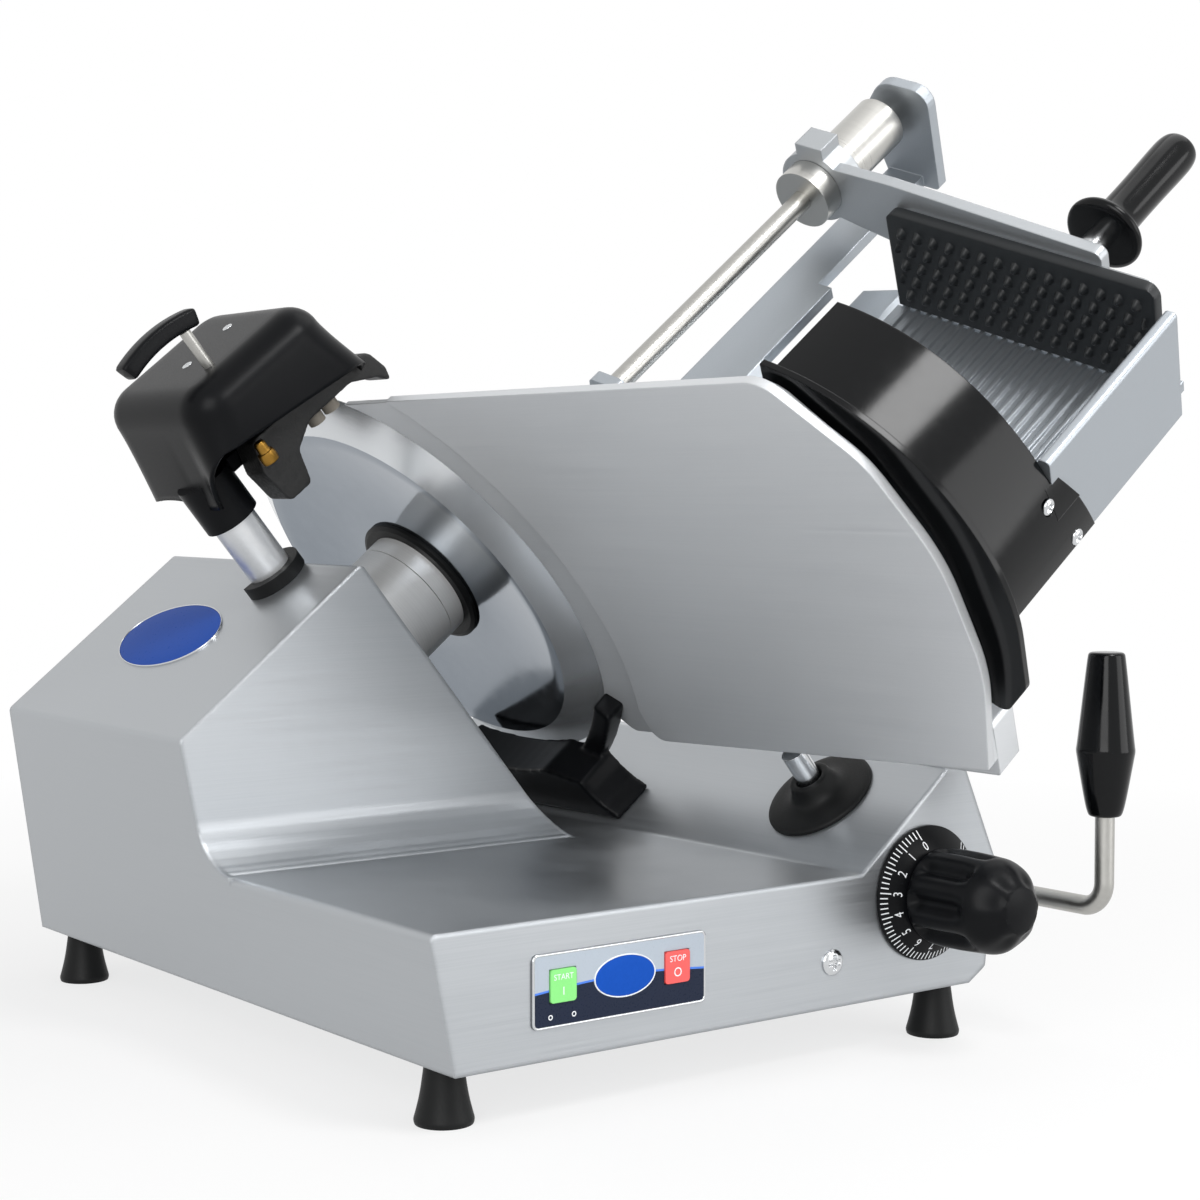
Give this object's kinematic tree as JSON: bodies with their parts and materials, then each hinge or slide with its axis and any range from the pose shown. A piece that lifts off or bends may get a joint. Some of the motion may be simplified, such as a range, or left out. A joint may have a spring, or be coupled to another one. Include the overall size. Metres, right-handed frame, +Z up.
{
  "type": "manual food slicer",
  "caption": "Gravity-feed food slicer with a tilted round knife, gauge plate, index knob, hand-pushed carriage with pusher, and a built-in sharpener.",
  "frame": {"origin": "centre of the left front foot, on the counter", "axes": "+Z up, +X to the operator's right, +Y away from the operator along the carriage travel"},
  "size_m": [0.5098, 0.7315, 0.6088],
  "materials": {
    "satin_aluminium": "satin",
    "brushed_stainless": "brushed",
    "polished_steel": "polished",
    "knife_steel": "mirror polished",
    "cast_aluminium": "satin",
    "machined_steel": "machined",
    "black_plastic": "satin",
    "gloss_black": "gloss",
    "black_rubber": "matte",
    "dark_plastic": "textured",
    "panel_print": "satin",
    "badge_blue": "gloss",
    "green_pad": "satin",
    "red_pad": "satin",
    "bronze": "machined",
    "abrasive_stone": "matte",
    "painted_motor": "painted"
  },
  "bodies": {
    "base": {"base_casing": "brushed_stainless", "bottom_plate": "brushed_stainless", "feet": "black_rubber", "foot_screws": "machined_steel", "control_panel": "panel_print", "switch_module": "dark_plastic", "housing_badge": "badge_blue", "front_screw": "polished_steel", "hub_housing": "brushed_stainless", "hub_bearings": "machined_steel", "motor": "painted_motor", "motor_bracket": "machined_steel", "drive_belt": "black_rubber", "knife_deflector": "black_plastic", "sharpener_post": "polished_steel", "post_ring": "black_rubber", "carriage_shaft": "polished_steel", "shaft_blocks": "cast_aluminium", "guide_rods": "polished_steel", "guide_blocks": "cast_aluminium"},
    "knife": {"knife_arbor": "machined_steel", "arbor_pulley": "machined_steel", "knife_hub": "brushed_stainless", "hub_seal": "black_rubber", "knife": "knife_steel", "knife_screws": "machined_steel"},
    "rotor": {"motor_pulley": "machined_steel"},
    "gauge": {"gauge_plate": "satin_aluminium", "gauge_post": "polished_steel", "post_boot": "black_rubber", "gauge_slider": "cast_aluminium"},
    "index": {"index_knob": "black_plastic", "index_dial": "black_plastic", "index_shaft": "polished_steel", "index_cam": "machined_steel"},
    "carriage": {"trolley": "cast_aluminium", "trolley_bushes": "bronze", "carriage_arm": "cast_aluminium", "product_table": "cast_aluminium", "knife_guard": "gloss_black", "guard_screws": "polished_steel", "slide_rod": "polished_steel", "handle_rod": "polished_steel", "handle_grip": "gloss_black"},
    "pusher_slide": {"pusher_sleeve": "polished_steel"},
    "pusher": {"pusher_arm": "cast_aluminium", "pusher_backing": "machined_steel", "pusher_pad": "dark_plastic", "pusher_stem": "polished_steel", "pusher_grip": "gloss_black"},
    "sharpener": {"sharpener_holder": "black_plastic", "sharpener_cover": "black_plastic", "stone_fork": "dark_plastic", "sharpening_stones": "abrasive_stone"},
    "lever": {"lever_stem": "polished_steel", "lever_grip": "black_plastic"},
    "start_button": {"start_pad": "green_pad"},
    "stop_button": {"stop_pad": "red_pad"}
  },
  "joints": [
    {"name": "knife_spin", "type": "hinge", "parent": "base", "child": "knife", "pos_m": [0.18965, 0.355, 0.25893], "axis": [0.776, 0, 0.6307], "continuous": true},
    {"name": "motor_spin", "type": "hinge", "parent": "base", "child": "rotor", "pos_m": [0.1708, 0.355, 0.15211], "axis": [0.776, 0, 0.6307], "continuous": true},
    {"name": "carriage_slide", "type": "slide", "parent": "base", "child": "carriage", "axis": [0, 1, 0], "range_m": [0, 0.33]},
    {"name": "index_turn", "type": "hinge", "parent": "base", "child": "index", "pos_m": [0.334, -0.035, 0.096], "axis": [0, 1, 0], "range_deg": [0, 300]},
    {"name": "gauge_slide", "type": "slide", "parent": "base", "child": "gauge", "axis": [-0.776, 0, -0.6307], "range_m": [0, 0.018]},
    {"name": "pusher_slide", "type": "slide", "parent": "carriage", "child": "pusher_slide", "axis": [-0.776, 0, -0.6307], "range_m": [0, 0.135]},
    {"name": "pusher_swing", "type": "hinge", "parent": "pusher_slide", "child": "pusher", "pos_m": [0.30728, 0.03911, 0.53595], "axis": [-0.776, 0, -0.6307], "range_deg": [0, 100]},
    {"name": "sharpener_lift", "type": "slide", "parent": "base", "child": "sharpener", "axis": [-0.6307, 0, 0.776], "range_m": [0, 0.045]},
    {"name": "lever_pull", "type": "slide", "parent": "sharpener", "child": "lever", "axis": [-0.6307, 0, 0.776], "range_m": [0, 0.008], "stiffness_N_per_m": 150},
    {"name": "start_press", "type": "slide", "parent": "base", "child": "start_button", "axis": [0, 1, 0], "range_m": [0, 0.0008], "stiffness_N_per_m": 400},
    {"name": "stop_press", "type": "slide", "parent": "base", "child": "stop_button", "axis": [0, 1, 0], "range_m": [0, 0.0008], "stiffness_N_per_m": 400}
  ],
  "couplings": [
    {"joint": "motor_spin", "follows": "knife_spin", "ratio": 2.6923},
    {"joint": "gauge_slide", "follows": "index_turn", "m_per_rad": 0.003437}
  ]
}
